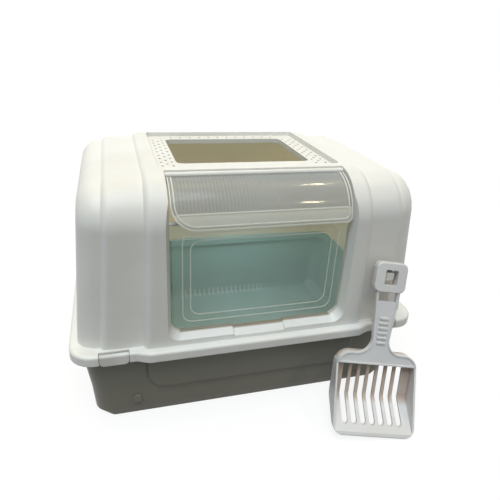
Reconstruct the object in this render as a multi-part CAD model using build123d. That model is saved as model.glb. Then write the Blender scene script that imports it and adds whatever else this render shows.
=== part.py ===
from build123d import *
import math
import os

# Hooded cat litter box. Millimetres: X to the right, -Y to the front, Z up, tray standing on Z = 0.

# Walls and clearances
HOOD_WALL = 3.0
TRAY_WALL = 3.0
CLEAR_WALL = 2.0            # clear sheet of the visor and the door
RIM_GAP = 1.2               # tray rim to the inside of the hood's lip
PIN_GAP = 0.05              # radial play of every hinge pin
END_GAP = 0.6               # play at the ends of a hinged piece
PANEL_GAP = 0.4             # top panel to the walls of its recess

# Tray
TRAY_HEIGHT = 116.0
FOOT_INSET_X = 42.0         # foot of the tray, in from the ends and the front of the flange
FOOT_INSET_Y = 21.0
FOOT_RISE = 10.0            # height of the bevel round the foot
FOOT_BEVEL_X = 17.0
FOOT_BEVEL_Y = 2.0
KNEE_HEIGHT = 45.0          # the ends flare more above this height
KNEE_FLARE_X = 2.5
KNEE_FLARE_Y = 1.0
RIM_FLARE_X = 10.0
FOOT_CORNER = 10.0
WALL_CORNER = 22.0
RIM_LIP = 8.0               # drop of the tray's rim
UPSTAND = 11.0              # lip that stands up inside the hood
PAD_WIDER = 8.0             # raised pad of the front, wider at each end than the flange's bulge
PAD_BOTTOM = 40.0
PAD_PROUD = 6.0
PAD_CORNER = 30.0
PAD_TAPER = 30.0
STOP_WIDTH = 12.0           # small raised stop low on the front and back walls
STOP_HEIGHT = 13.0
STOP_PROUD = 2.0
STOP_CORNER = 3.0
STOP_RISE = 26.5            # middle of the stop above the floor
STOP_INSET = 82.0           # middle of the stop, in from the end of the flange

# Flange of the hood
FLANGE_WIDTH = 500.0
FLANGE_DEPTH = 356.0        # over the bulge at the centre
FLANGE_CORNER = 32.0
FLANGE_LIP = 14.0
FLANGE_ROUND = 4.0
BULGE_INSET = 100.0         # bulge of the front and back, in from the flange's ends
BULGE_RUN = 16.0
BULGE_STEP = 7.0
BULGE_ROUND = 12.0

# Stepped arch of the hood: centre band, shoulder band and outer body
HOOD_TOP = 340.0
CENTRE_LEDGE = 10.5
CENTRE_INSET = 94.0         # end of the centre band, in from the flange's end
CENTRE_DRAFT = 2.5
CENTRE_FRONT_ROUND = 60.0
CENTRE_REAR_ROUND = 68.0
SHOULDER_STEP = 8.5
SHOULDER_DROP = 6.0
SHOULDER_INSET = 39.0       # end of the shoulder band, in from the flange's end
SHOULDER_DRAFT = 4.6
BODY_STEP = 7.0
BODY_DROP = 5.0
SIDE_LEDGE = 10.0
SIDE_DRAFT = 5.0
BODY_ROUND = 26.0
BAND_ROUND = 10.0

# Front opening
OPENING_MARGIN = 36.5       # centre band on each side of the opening
OPENING_CORNER = 16.0
SILL_RISE = 14.5            # sill above the flange
SILL_THICK = 12.0
BEVEL_RUN = 11.5            # bevel round the front of the opening: its depth, its drop and its spread
BEVEL_DROP = 6.5
BEVEL_SPREAD = 5.0
JAMB_WALL = 3.0             # jamb outside the bevel
JAMB_DEPTH = 18.0
NOTCH_HALF = 36.5
NOTCH_DEPTH = 3.0

# Visor and its hinge bar
VISOR_INSET = 5.0
VISOR_SIDE_GAP = 2.0
VISOR_CORNER_LEFT = 32.0
VISOR_CORNER_RIGHT = 6.0
VISOR_CREASE = 20.0         # crease line, above the visor's lower edge
BEAD_WIDTH = 1.6
BEAD_PITCH = 4.2
BEAD_PROUD = 1.2
CREASE_PROUD = 0.8
BAR_RADIUS = 3.5
BAR_SETBACK = 6.0           # bar axis in front of the arch's centre of rounding
BAR_BED = 1.0               # bar surface below the surface of the hood
BAR_GAP = 1.0               # bar to the edge of the top
VISOR_PIN_RADIUS = 1.6
PIN_COVER = 0.6             # bar left between a visor pin and the sheet
VISOR_PIN_BED = 9.0         # length of a visor pin inside the bar

# Door
DOOR_SIDE_GAP = 2.5
DOOR_SILL_GAP = 2.5
DOOR_VISOR_GAP = 0.8
DOOR_AXIS_LIFT = 8.0        # door axis above the visor's lower edge
DOOR_CORNER = 14.0
DOOR_BARREL = 3.0
DOOR_PIN_RADIUS = 1.8
DOOR_PIN_BED = 10.0
DOOR_LINE_WIDTH = 1.4
DOOR_LINE_PROUD = 0.8
DOOR_BORDER = 12.0          # outer raised line, in from the door's edge
DOOR_FRAME = 22.0           # inner raised line, in from the door's edge

# Recess and perforated panel in the top
RECESS_MARGIN = 32.0        # centre band on each side of the recess
RECESS_STRIP = 14.0         # strip between the recess and the front opening
RECESS_SETBACK = 55.5       # rear of the recess, in from the back of the centre band
RECESS_DEPTH = 7.0
RECESS_CORNER = 8.0
LEDGE_WIDTH = 5.0
PANEL_THICK = 3.5
HOLE_MARGIN = 28.0          # panel on each side of the exit hole, in front of it and behind it
HOLE_APRON = 39.5
HOLE_SETBACK = 25.5
HOLE_CORNER = 10.0
HOLE_LIP = 7.0
HOLE_WALL = 2.5
PORE_RADIUS = 2.0
PORE_COLUMN_PITCH = 7.2
PORE_ROW_PITCH = 18.5
PORE_MARGIN = 29.0          # pores of the side columns, in from the front and rear of the recess
REAR_PORE_PITCH = 15.5

# Clips in the flange
CLIP_INSET = 56.0           # middle of the clip, in from the flange's end
CLIP_LENGTH = 36.8
CLIP_BAY = 9.2              # depth of the bay that the clip sits in
CLIP_PROUD = 0.2
CLIP_PLATE = 2.8
CLIP_DROP = 1.6             # clip below the lip of the flange
CLIP_BARREL = 3.6
CLIP_AXIS_BACK = 4.5        # clip axis behind the flange's front
CLIP_AXIS_DOWN = 4.4        # clip axis below the flange's top
CLIP_CORNER = 6.0
CLIP_PIN_RADIUS = 1.5
CLIP_CHEEK = 6.0
CLIP_PIN_BED = 4.5
CLIP_REST = 2.3             # clip bay to the cut-back tray rim

# Scoop and its peg
PEG_INSET = 73.0            # middle of the peg, in from the flange's end
PEG_RISE = 85.4             # middle of the peg above the flange
PEG_WIDTH = 10.5
PEG_HEIGHT = 11.0
PEG_LENGTH = 27.0
SCOOP_LEAN = 18.0
SCOOP_ROLL = 5.4
SCOOP_YAW = 11.0
SCOOP_STAND = 24.3          # middle of the scoop's head, in front of the shoulder
HEAD_WIDTH = 44.0
HEAD_HEIGHT = 42.0
HEAD_THICK = 16.0
HEAD_PROUD = 3.0
HEAD_CORNER = 9.0
HEAD_ROUND = 2.0
EYE_WIDTH = 17.4
EYE_HEIGHT = 21.4
EYE_CORNER = 2.0
EYE_DROP = 1.4              # eye centre below the peg's centre
GRIP_THICK = 6.0
GRIP_TOP_HALF = 16.5
GRIP_HALF = 10.5
GRIP_LENGTH = 88.0
NECK_ROUND = 21.0
EDGE_WIDTH = 2.2            # raised edge round the grip and the front plate
EDGE_PROUD = 1.1
WINDOW_WIDTH = 25.0
WINDOW_HEIGHT = 13.0
RIB_COUNT = 6
RIB_PITCH = 7.0
RIB_WIDTH = 13.0
RIB_HEIGHT = 2.8
RIB_PROUD = 2.0
RIB_RISE = 16.0             # lowest rib above the grip's end
PAN_WIDTH = 116.0
PAN_PLATE = 16.0            # front plate above the pan's mouth
PAN_DEPTH = 16.0
PAN_BACK = 68.0             # straight back of the pan, below the grip
PAN_LENGTH = 109.0          # drop from the grip's end to the tip
PAN_REACH = 26.0            # tip in front of the grip
PAN_WALL = 2.6
PAN_BEND = 12.0
PAN_TOP_CORNER = 20.0
PAN_TIP_CORNER = 14.0
SLOT_COUNT = 7
SLOT_PITCH = 13.0
SLOT_WIDTH = 8.2
SLOT_START = 12.0           # slot end below the grip's end
SLOT_TIP = 12.0             # slot end above the tip

# Places worked out from the sizes above
FLANGE_TOP = TRAY_HEIGHT + HOOD_WALL
FLANGE_BOTTOM = FLANGE_TOP - FLANGE_LIP
HALF_WIDTH = FLANGE_WIDTH / 2
CORNER_DEPTH = FLANGE_DEPTH - 2 * BULGE_STEP
BULGE_HALF = HALF_WIDTH - BULGE_INSET
CENTRE_HALF = HALF_WIDTH - CENTRE_INSET
SHOULDER_HALF = HALF_WIDTH - SHOULDER_INSET
BODY_HALF = HALF_WIDTH - SIDE_LEDGE
FOOT_HALF = HALF_WIDTH - FOOT_INSET_X
FOOT_DEPTH = CORNER_DEPTH / 2 - FOOT_INSET_Y
WALL_DEPTH = FOOT_DEPTH + FOOT_BEVEL_Y + KNEE_FLARE_Y
PAD_HALF = BULGE_HALF + PAD_WIDER
CLIP_CENTRE = HALF_WIDTH - CLIP_INSET
PEG_X = HALF_WIDTH - PEG_INSET
PEG_Z = FLANGE_TOP + PEG_RISE
SILL_HEIGHT = FLANGE_TOP + SILL_RISE
OPENING_HALF = CENTRE_HALF - OPENING_MARGIN
RECESS_HALF = CENTRE_HALF - RECESS_MARGIN
HOLE_HALF = RECESS_HALF - HOLE_MARGIN
CENTRE_DEPTH = FLANGE_DEPTH / 2 - CENTRE_LEDGE
SHOULDER_DEPTH = CENTRE_DEPTH - SHOULDER_STEP
BODY_DEPTH = SHOULDER_DEPTH - BODY_STEP
SHOULDER_TOP = HOOD_TOP - SHOULDER_DROP
BODY_TOP = SHOULDER_TOP - BODY_DROP
ROUND_Y = CENTRE_FRONT_ROUND - CENTRE_DEPTH
ROUND_Z = HOOD_TOP - CENTRE_FRONT_ROUND
BAR_REACH = CENTRE_FRONT_ROUND - BAR_BED - BAR_RADIUS
BAR_Y = ROUND_Y - BAR_SETBACK
BAR_Z = ROUND_Z + math.sqrt(BAR_REACH**2 - BAR_SETBACK**2)
OPENING_END = BAR_Y + BAR_RADIUS + BAR_GAP
RECESS_FRONT = OPENING_END + RECESS_STRIP
RECESS_REAR = CENTRE_DEPTH - RECESS_SETBACK
HOLE_FRONT = RECESS_FRONT + HOLE_APRON
HOLE_REAR = RECESS_REAR - HOLE_SETBACK
VISOR_RADIUS = CENTRE_FRONT_ROUND - VISOR_INSET
VISOR_HALF = OPENING_HALF - VISOR_SIDE_GAP
VISOR_BACK = VISOR_RADIUS - CLEAR_WALL
DOOR_HALF = OPENING_HALF - DOOR_SIDE_GAP
DOOR_Z = ROUND_Z + DOOR_AXIS_LIFT
DOOR_Y = ROUND_Y - math.sqrt(VISOR_BACK**2 - DOOR_AXIS_LIFT**2) + DOOR_BARREL + DOOR_VISOR_GAP
PANEL_TOP = HOOD_TOP - RECESS_DEPTH
LEDGE_TOP = PANEL_TOP - PANEL_THICK
CLIP_Y = CORNER_DEPTH / 2 - CLIP_AXIS_BACK
CLIP_Z = FLANGE_TOP - CLIP_AXIS_DOWN
BAY_BACK = CORNER_DEPTH / 2 - CLIP_BAY
BAY_HALF = CLIP_LENGTH / 2 + END_GAP
GRIP_END = -HEAD_HEIGHT / 2 - GRIP_LENGTH
OVER = 20.0                 # how far a cutting tool runs past what it cuts
NEAR = 1.0                  # how near a corner or an edge lies to the place it is looked for

SIDES = {"left": -1, "right": 1}
ENDS = {"front": -1, "rear": 1}


def span(x, y, z):
    """A box between the low and high limits given for each axis."""
    size = [high - low for low, high in (x, y, z)]
    middle = [(high + low) / 2 for low, high in (x, y, z)]
    return Pos(*middle) * Box(*size)


def rod(radius, x_low, x_high, y, z):
    """A round rod along X."""
    return Pos((x_low + x_high) / 2, y, z) * Rot(0, 90, 0) * Cylinder(radius, x_high - x_low)


def arch_face(inset, depth, top, front_round, rear_round, bottom):
    """Arch in the YZ plane, with a rounded front-top and rear-top corner."""
    half = depth - inset
    height = top - inset
    face = make_face(Polyline((-half, bottom), (-half, height), (half, height), (half, bottom), close=True))
    corners = face.vertices().sort_by(Axis.Y)[-2:].sort_by(Axis.X)
    face = fillet(corners[0], front_round - inset)
    corner = face.vertices().sort_by(Axis.X)[-2:].sort_by(Axis.Y)[-1]
    return Plane.YZ * fillet(corner, rear_round - inset)


def arched_block(inset, depth, top, front_round, rear_round, half_width, draft_angle, edge_round):
    """Arch extruded across the hood, with leaning ends and rounded end edges."""
    bottom = FLANGE_BOTTOM - OVER
    lean = math.tan(math.radians(draft_angle))
    low_half = half_width - inset + (FLANGE_TOP - bottom) * lean
    high_half = half_width - inset - (HOOD_TOP + OVER - FLANGE_TOP) * lean
    arch = extrude(arch_face(inset, depth, top, front_round, rear_round, bottom), FLANGE_WIDTH, both=True)
    ends = Polyline((-low_half, bottom), (low_half, bottom), (high_half, HOOD_TOP + OVER),
                    (-high_half, HOOD_TOP + OVER), close=True)
    block = arch & extrude(Plane.XZ * make_face(ends), FLANGE_DEPTH, both=True)
    side_faces = block.faces().sort_by(Axis.X)
    rounded = [edge for face in (side_faces[0], side_faces[-1]) for edge in face.edges()
               if edge.center().Z > bottom + NEAR]
    return fillet(rounded, edge_round)


def stepped_arch(inset):
    """The three bands of the hood, all inset by the same distance."""
    centre = arched_block(inset, CENTRE_DEPTH, HOOD_TOP, CENTRE_FRONT_ROUND, CENTRE_REAR_ROUND,
                          CENTRE_HALF, CENTRE_DRAFT, BAND_ROUND)
    shoulder = arched_block(inset, SHOULDER_DEPTH, SHOULDER_TOP, CENTRE_FRONT_ROUND - SHOULDER_DROP,
                            CENTRE_REAR_ROUND - SHOULDER_DROP, SHOULDER_HALF, SHOULDER_DRAFT, BAND_ROUND)
    drop = SHOULDER_DROP + BODY_DROP
    body = arched_block(inset, BODY_DEPTH, BODY_TOP, CENTRE_FRONT_ROUND - drop, CENTRE_REAR_ROUND - drop,
                        BODY_HALF, SIDE_DRAFT, BODY_ROUND - inset)
    return body + shoulder + centre


def flange_outline():
    """Plan of the flange: a rounded rectangle with a bulge at the front and the back."""
    plan = RectangleRounded(FLANGE_WIDTH, CORNER_DEPTH, FLANGE_CORNER)
    low, high = CORNER_DEPTH / 2, FLANGE_DEPTH / 2
    for side in ENDS.values():
        bulge = Polyline((-BULGE_HALF - BULGE_RUN, side * low), (-BULGE_HALF, side * high),
                         (BULGE_HALF, side * high), (BULGE_HALF + BULGE_RUN, side * low), (0, 0), close=True)
        plan += make_face(bulge)
    bends = [v for v in plan.vertices() if -NEAR < abs(v.X) - BULGE_HALF < BULGE_RUN + NEAR]
    return fillet(bends, BULGE_ROUND)


def make_flange():
    plan = flange_outline()
    plate = extrude(Pos(0, 0, FLANGE_BOTTOM) * plan, FLANGE_LIP)
    plate = fillet(plate.edges().group_by(Axis.Z)[-1], FLANGE_ROUND)
    inner = offset(plan, -HOOD_WALL)
    hollow = extrude(Pos(0, 0, FLANGE_BOTTOM - OVER) * inner, FLANGE_LIP - HOOD_WALL + OVER)
    return plate - hollow


def opening_face(y, half, sill, corner):
    """Front opening seen from the front, with rounded lower corners, at one depth."""
    top = HOOD_TOP + OVER
    face = make_face(Polyline((-half, sill), (half, sill), (half, top), (-half, top), close=True))
    return Plane.XZ.offset(-y) * fillet(face.vertices().sort_by(Axis.Y)[:2], corner)


def opening_tool(half, sill, corner, spread):
    """Cutter for the front opening, with its bevelled floor and bevelled sides."""
    bevel_y = BEVEL_RUN - CENTRE_DEPTH
    reach = (BEVEL_RUN + OVER) / BEVEL_RUN
    front = opening_face(bevel_y - BEVEL_RUN * reach, half + spread * reach, sill - BEVEL_DROP * reach, corner)
    back = opening_face(bevel_y, half, sill, corner)
    return loft([front, back], ruled=True) + extrude(back, bevel_y - OPENING_END)


def make_frame():
    """Jambs, sill and head of the front opening."""
    bottom = SILL_HEIGHT - SILL_THICK
    sizes = (CENTRE_DEPTH, HOOD_TOP, CENTRE_FRONT_ROUND, CENTRE_REAR_ROUND, bottom)
    ring = arch_face(HOOD_WALL / 2, *sizes) - arch_face(JAMB_DEPTH, *sizes)
    band = extrude(ring, OPENING_HALF + BEVEL_SPREAD + JAMB_WALL, both=True)
    reach = OPENING_END + JAMB_WALL
    return band & span((-FLANGE_WIDTH, FLANGE_WIDTH), (-FLANGE_DEPTH, reach), (bottom, HOOD_TOP))


def recess_box(margin, low, high):
    """Block over the top recess, drawn in by the margin on all four sides."""
    depth = RECESS_REAR - RECESS_FRONT - 2 * margin
    plan = RectangleRounded(2 * (RECESS_HALF - margin), depth, RECESS_CORNER - margin)
    return extrude(Pos(0, (RECESS_FRONT + RECESS_REAR) / 2, low) * plan, high - low)


def clip_bay(side, end):
    """Bay in the flange that one clip sits in."""
    x = side * CLIP_CENTRE
    y = sorted((end * BAY_BACK, end * (FLANGE_DEPTH / 2 + OVER)))
    return span((x - BAY_HALF, x + BAY_HALF), y, (FLANGE_BOTTOM - OVER, FLANGE_TOP + OVER))


def clip_cheeks(side, end):
    """Block behind the lip that the clip's bay is cut from, leaving a cheek at each end."""
    x = side * CLIP_CENTRE
    reach = BAY_HALF + CLIP_CHEEK
    y = sorted((end * BAY_BACK, end * (CORNER_DEPTH / 2 - HOOD_WALL / 2)))
    return span((x - reach, x + reach), y, (CLIP_Z - CLIP_BARREL, FLANGE_TOP - HOOD_WALL / 2))


def clip_pin(side, end, radius, bed):
    """Pin of one clip, reaching into both cheeks."""
    x = side * CLIP_CENTRE
    reach = BAY_HALF + bed
    return rod(radius, x - reach, x + reach, end * CLIP_Y, CLIP_Z)


def make_hood():
    hood = stepped_arch(0) & span((-FLANGE_WIDTH, FLANGE_WIDTH), (-FLANGE_DEPTH, FLANGE_DEPTH),
                                  (FLANGE_TOP - HOOD_WALL, HOOD_TOP))
    hood = hood + make_flange()
    hood -= stepped_arch(HOOD_WALL)
    hood += make_frame()
    hood -= opening_tool(OPENING_HALF, SILL_HEIGHT, OPENING_CORNER, BEVEL_SPREAD)
    hood -= opening_tool(NOTCH_HALF, SILL_HEIGHT - NOTCH_DEPTH, NOTCH_DEPTH, 0)
    recess = recess_box(0, LEDGE_TOP, HOOD_TOP + OVER)
    ledge = recess_box(-HOOD_WALL, LEDGE_TOP - HOOD_WALL, HOOD_TOP - HOOD_WALL / 2)
    hood = hood - recess + (ledge - recess - recess_box(LEDGE_WIDTH, BODY_TOP - OVER, HOOD_TOP))
    for side in SIDES.values():
        inner, outer = sorted((side * (OPENING_HALF - OVER), side * (OPENING_HALF + JAMB_WALL + END_GAP)))
        hood -= rod(VISOR_PIN_RADIUS + PIN_GAP, inner, outer, BAR_Y, BAR_Z)
        hood -= rod(DOOR_PIN_RADIUS + PIN_GAP, inner, outer, DOOR_Y, DOOR_Z)
        for end in ENDS.values():
            hood += clip_cheeks(side, end)
            hood -= clip_bay(side, end)
            hood -= clip_pin(side, end, CLIP_PIN_RADIUS + PIN_GAP, CLIP_PIN_BED + END_GAP)
    peg = span((PEG_X - PEG_WIDTH / 2, PEG_X + PEG_WIDTH / 2),
               (-SHOULDER_DEPTH - PEG_LENGTH, -SHOULDER_DEPTH + HOOD_WALL / 2),
               (PEG_Z - PEG_HEIGHT / 2, PEG_Z + PEG_HEIGHT / 2))
    return hood + peg


def tray_section(height, half_x, half_y, corner):
    return Pos(0, 0, height) * RectangleRounded(2 * half_x, 2 * half_y, corner)


def tray_body(inset, floor):
    """Flared body of the tray, inset by a wall and cut off below the floor."""
    half_x, half_y = FOOT_HALF - inset, FOOT_DEPTH - inset
    sections = [tray_section(floor, half_x, half_y, FOOT_CORNER - inset)]
    half_x, half_y = half_x + FOOT_BEVEL_X, half_y + FOOT_BEVEL_Y
    sections.append(tray_section(floor + FOOT_RISE, half_x, half_y, WALL_CORNER - inset))
    half_x, half_y = half_x + KNEE_FLARE_X, half_y + KNEE_FLARE_Y
    sections.append(tray_section(KNEE_HEIGHT, half_x, half_y, WALL_CORNER - inset))
    sections.append(tray_section(TRAY_HEIGHT, half_x + RIM_FLARE_X, half_y, WALL_CORNER - inset))
    return loft(sections, ruled=True)


def tray_pad(inset):
    """Raised pad on the tray's front, under the bulge of the flange."""
    half, top = PAD_HALF - inset, TRAY_HEIGHT + OVER
    bottom = PAD_BOTTOM + inset
    face = make_face(Polyline((-half, bottom), (half, bottom), (half, top), (-half, top), close=True))
    face = fillet(face.vertices().sort_by(Axis.Y)[:2], PAD_CORNER - inset)
    root = FOOT_DEPTH - TRAY_WALL - inset
    return extrude(Plane.XZ.offset(root) * face, WALL_DEPTH + PAD_PROUD - inset - root, taper=PAD_TAPER)


def tray_stop(side, end):
    """Small stop that stands proud of the tray's front or back wall, low down."""
    face = RectangleRounded(STOP_WIDTH, STOP_HEIGHT, STOP_CORNER)
    face = Pos(side * (HALF_WIDTH - STOP_INSET), STOP_RISE) * face
    stop = extrude(Plane.XZ.offset(FOOT_DEPTH) * face, WALL_DEPTH + STOP_PROUD - FOOT_DEPTH)
    return stop if end < 0 else mirror(stop, Plane.XZ)


def upstand_plan(inset):
    """Plan of the lip that stands up inside the hood, clear of the hood's walls."""
    lean = math.tan(math.radians(SIDE_DRAFT)) * UPSTAND
    half_x = BODY_HALF - HOOD_WALL - RIM_GAP - lean - inset
    half_y = BODY_DEPTH - HOOD_WALL - RIM_GAP - inset
    return RectangleRounded(2 * half_x, 2 * half_y, BODY_ROUND - inset)


def clip_notch(side, end):
    """Cut in the tray's rim that leaves room behind one clip."""
    x = side * CLIP_CENTRE
    reach = BAY_HALF + CLIP_CHEEK + RIM_GAP
    y = sorted((end * (BAY_BACK - CLIP_REST), end * FLANGE_DEPTH))
    return span((x - reach, x + reach), y, (FLANGE_BOTTOM - OVER, TRAY_HEIGHT + OVER))


def make_tray():
    shelf = TRAY_HEIGHT - TRAY_WALL
    rim_plan = offset(flange_outline(), -HOOD_WALL - RIM_GAP)
    rim = extrude(Pos(0, 0, TRAY_HEIGHT - RIM_LIP) * rim_plan, RIM_LIP)
    rim -= extrude(Pos(0, 0, TRAY_HEIGHT - RIM_LIP) * offset(rim_plan, -TRAY_WALL), RIM_LIP - TRAY_WALL)
    below_shelf = span((-FLANGE_WIDTH, FLANGE_WIDTH), (-FLANGE_DEPTH, FLANGE_DEPTH), (0, shelf))
    tray = tray_body(0, 0) + (tray_pad(0) & below_shelf)
    cavity = tray_body(TRAY_WALL, TRAY_WALL) + tray_pad(TRAY_WALL)
    for side in SIDES.values():
        for end in ENDS.values():
            tray += tray_stop(side, end)
    tray = tray + rim - (cavity & below_shelf)
    tray += extrude(Pos(0, 0, shelf) * upstand_plan(0), TRAY_WALL + UPSTAND)
    tray -= extrude(Pos(0, 0, shelf - OVER) * upstand_plan(TRAY_WALL), 2 * OVER + UPSTAND)
    for side in SIDES.values():
        for end in ENDS.values():
            tray -= clip_notch(side, end)
    return tray


def pore_places():
    """Middles of the panel's pores: three staggered columns beside the hole and one row behind it."""
    middle = (RECESS_FRONT + RECESS_REAR) / 2
    column = (HOLE_HALF + HOLE_WALL + RECESS_HALF - LEDGE_WIDTH) / 2
    rows = 1 + int((RECESS_REAR - RECESS_FRONT - 2 * PORE_MARGIN) / PORE_ROW_PITCH)
    places = []
    for side in SIDES.values():
        pairs = GridLocations(2 * PORE_COLUMN_PITCH, PORE_ROW_PITCH, 2, rows)
        between = GridLocations(PORE_COLUMN_PITCH, PORE_ROW_PITCH, 1, rows - 1)
        places += [Pos(side * column, middle) * place for place in [*pairs, *between]]
    rear_row = (HOLE_REAR + HOLE_WALL + RECESS_REAR - LEDGE_WIDTH) / 2
    rear_count = int(2 * HOLE_HALF / REAR_PORE_PITCH)
    return places + [Pos(0, rear_row) * place for place in GridLocations(REAR_PORE_PITCH, 1, rear_count, 1)]


def make_top_panel():
    plate = recess_box(PANEL_GAP, LEDGE_TOP, PANEL_TOP)
    depth, middle = HOLE_REAR - HOLE_FRONT, (HOLE_REAR + HOLE_FRONT) / 2
    lip = RectangleRounded(2 * (HOLE_HALF + HOLE_WALL), depth + 2 * HOLE_WALL, HOLE_CORNER + HOLE_WALL)
    hole = RectangleRounded(2 * HOLE_HALF, depth, HOLE_CORNER)
    low = PANEL_TOP - HOLE_LIP
    plate += extrude(Pos(0, middle, low) * lip, HOLE_LIP)
    plate -= extrude(Pos(0, middle, low - OVER) * hole, HOLE_LIP + 2 * OVER)
    pore = RegularPolygon(PORE_RADIUS, 6)
    pores = Sketch() + [place * pore for place in pore_places()]
    return plate - extrude(Pos(0, 0, LEDGE_TOP - OVER) * pores, PANEL_THICK + 2 * OVER)


def visor_sheet(inner, outer, start, finish, half):
    """Curved sheet about the hood's front rounding, between two angles down from the top."""
    reach = 2 * CENTRE_FRONT_ROUND
    angles = [math.radians(angle) for angle in (start, (start + finish) / 2, finish)]
    wedge = [(-reach * math.sin(angle), reach * math.cos(angle)) for angle in angles]
    sector = (Circle(outer) - Circle(inner)) & make_face(Polyline((0, 0), *wedge, close=True))
    return extrude(Plane.YZ * (Pos(ROUND_Y, ROUND_Z) * sector), half, both=True)


def visor_outline(inset):
    """Visor seen from the front, with its large rounded corner at the lower left."""
    half, low, high = VISOR_HALF - inset, ROUND_Z + inset, HOOD_TOP + OVER
    face = make_face(Polyline((-half, low), (half, low), (half, high), (-half, high), close=True))
    face = fillet(face.vertices().sort_by(Axis.Y)[:2].sort_by(Axis.X)[0], VISOR_CORNER_LEFT - inset)
    return fillet(face.vertices().sort_by(Axis.Y)[:2].sort_by(Axis.X)[-1], VISOR_CORNER_RIGHT)


def visor_prism(face):
    return extrude(Plane.XZ * face, FLANGE_DEPTH / 2)


def root_angle():
    """Angle at which the visor's sheet starts, inside the bar and clear of its pins."""
    clear_of_pin = VISOR_PIN_RADIUS + PIN_GAP + PIN_COVER
    return math.degrees(math.asin(BAR_SETBACK / BAR_REACH) + clear_of_pin / VISOR_BACK)


def visor_field(start, finish, height):
    """Cutter that lowers the visor's outer face to a height above the plain sheet."""
    return visor_sheet(VISOR_RADIUS + height, VISOR_RADIUS + OVER, start, finish, VISOR_HALF + OVER)


def make_visor():
    root, past_edge = root_angle(), 90 + OVER
    clear_of_bar = root + math.degrees(BAR_RADIUS / VISOR_BACK)
    crease = 90 - math.degrees(math.asin(VISOR_CREASE / VISOR_RADIUS))
    half_line = math.degrees(BEAD_WIDTH / 2 / VISOR_RADIUS)
    visor = visor_sheet(VISOR_BACK, VISOR_RADIUS + BEAD_PROUD, root, past_edge, VISOR_HALF + OVER)
    visor &= visor_prism(visor_outline(0))
    visor -= visor_field(root - OVER, clear_of_bar, 0)
    groove = visor_prism(visor_outline(BEAD_WIDTH) - visor_outline(BEAD_PITCH))
    visor -= visor_field(clear_of_bar, past_edge, 0) & groove
    middle = visor_prism(visor_outline(BEAD_PITCH + BEAD_WIDTH))
    visor -= visor_field(clear_of_bar, crease - half_line, 0) & middle
    visor -= visor_field(crease - half_line, crease + half_line, CREASE_PROUD) & middle
    return visor - (visor_field(crease + half_line, past_edge, 0) & middle)


def make_visor_bar():
    half = OPENING_HALF - END_GAP
    bar = rod(BAR_RADIUS, -half, half, BAR_Y, BAR_Z)
    bar -= visor_sheet(VISOR_BACK, VISOR_RADIUS, root_angle(), 90, VISOR_HALF)
    for side in SIDES.values():
        low, high = sorted((side * (half - VISOR_PIN_BED), side * (half + OVER)))
        bar -= rod(VISOR_PIN_RADIUS + PIN_GAP, low, high, BAR_Y, BAR_Z)
    return bar


def make_visor_pin(side):
    tip, bed = OPENING_HALF + JAMB_WALL, OPENING_HALF - END_GAP - VISOR_PIN_BED + END_GAP / 2
    return rod(VISOR_PIN_RADIUS, *sorted((side * bed, side * tip)), BAR_Y, BAR_Z)


def door_face(inset):
    """Door seen from the front, drawn in from its edges."""
    half, low, high = DOOR_HALF - inset, SILL_HEIGHT + DOOR_SILL_GAP + inset, DOOR_Z - inset
    return make_face(Polyline((-half, low), (half, low), (half, high), (-half, high), close=True))


def door_line(inset):
    """A raised line that runs round the door, in from its edge."""
    outer = fillet(door_face(inset).vertices(), DOOR_CORNER)
    inner = fillet(door_face(inset + DOOR_LINE_WIDTH).vertices(), DOOR_CORNER - DOOR_LINE_WIDTH)
    front = CLEAR_WALL / 2 - DOOR_Y
    return extrude(Plane.XZ.offset(front) * (outer - inner), DOOR_LINE_PROUD)


def make_door():
    face = door_face(0)
    face = fillet(face.vertices().sort_by(Axis.Y)[:2], DOOR_CORNER)
    plate = extrude(Plane.XZ.offset(-DOOR_Y) * face, CLEAR_WALL / 2, both=True)
    plate += rod(DOOR_BARREL, -DOOR_HALF, DOOR_HALF, DOOR_Y, DOOR_Z)
    for inset in (DOOR_BORDER, DOOR_FRAME):
        plate += door_line(inset)
    for side in SIDES.values():
        low, high = sorted((side * (DOOR_HALF - DOOR_PIN_BED), side * (DOOR_HALF + OVER)))
        plate -= rod(DOOR_PIN_RADIUS + PIN_GAP, low, high, DOOR_Y, DOOR_Z)
    return plate


def make_door_pin(side):
    tip, bed = OPENING_HALF + JAMB_WALL, DOOR_HALF - DOOR_PIN_BED + END_GAP / 2
    return rod(DOOR_PIN_RADIUS, *sorted((side * bed, side * tip)), DOOR_Y, DOOR_Z)


def make_clip(side, end):
    """Clip that hangs in its bay from a pin: a front plate with a barrel behind its top edge."""
    front, top = CORNER_DEPTH / 2 + CLIP_PROUD, FLANGE_TOP - CLIP_PROUD
    bottom = FLANGE_BOTTOM - CLIP_DROP
    half = CLIP_LENGTH / 2
    plate = make_face(Polyline((front, bottom), (front, top), (CLIP_Y, top), (CLIP_Y, CLIP_Z),
                               (front - CLIP_PLATE, CLIP_Z), (front - CLIP_PLATE, bottom), close=True))
    profile = plate + Pos(CLIP_Y, CLIP_Z) * Circle(CLIP_BARREL)
    clip = extrude(Plane.YZ * profile, half, both=True)
    corners = clip.edges().filter_by(Axis.Y).group_by(Axis.Z)[0]
    clip = fillet(corners, CLIP_CORNER)
    top_edges = clip.edges().filter_by(Axis.X).sort_by(Axis.Y)[-4:].sort_by(Axis.Z)[-1]
    clip = fillet(top_edges, FLANGE_ROUND - 2 * CLIP_PROUD)
    clip -= rod(CLIP_PIN_RADIUS + PIN_GAP, -half - OVER, half + OVER, CLIP_Y, CLIP_Z)
    clip = clip if end > 0 else mirror(clip, Plane.XZ)
    return Pos(side * CLIP_CENTRE, 0, 0) * clip


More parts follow.
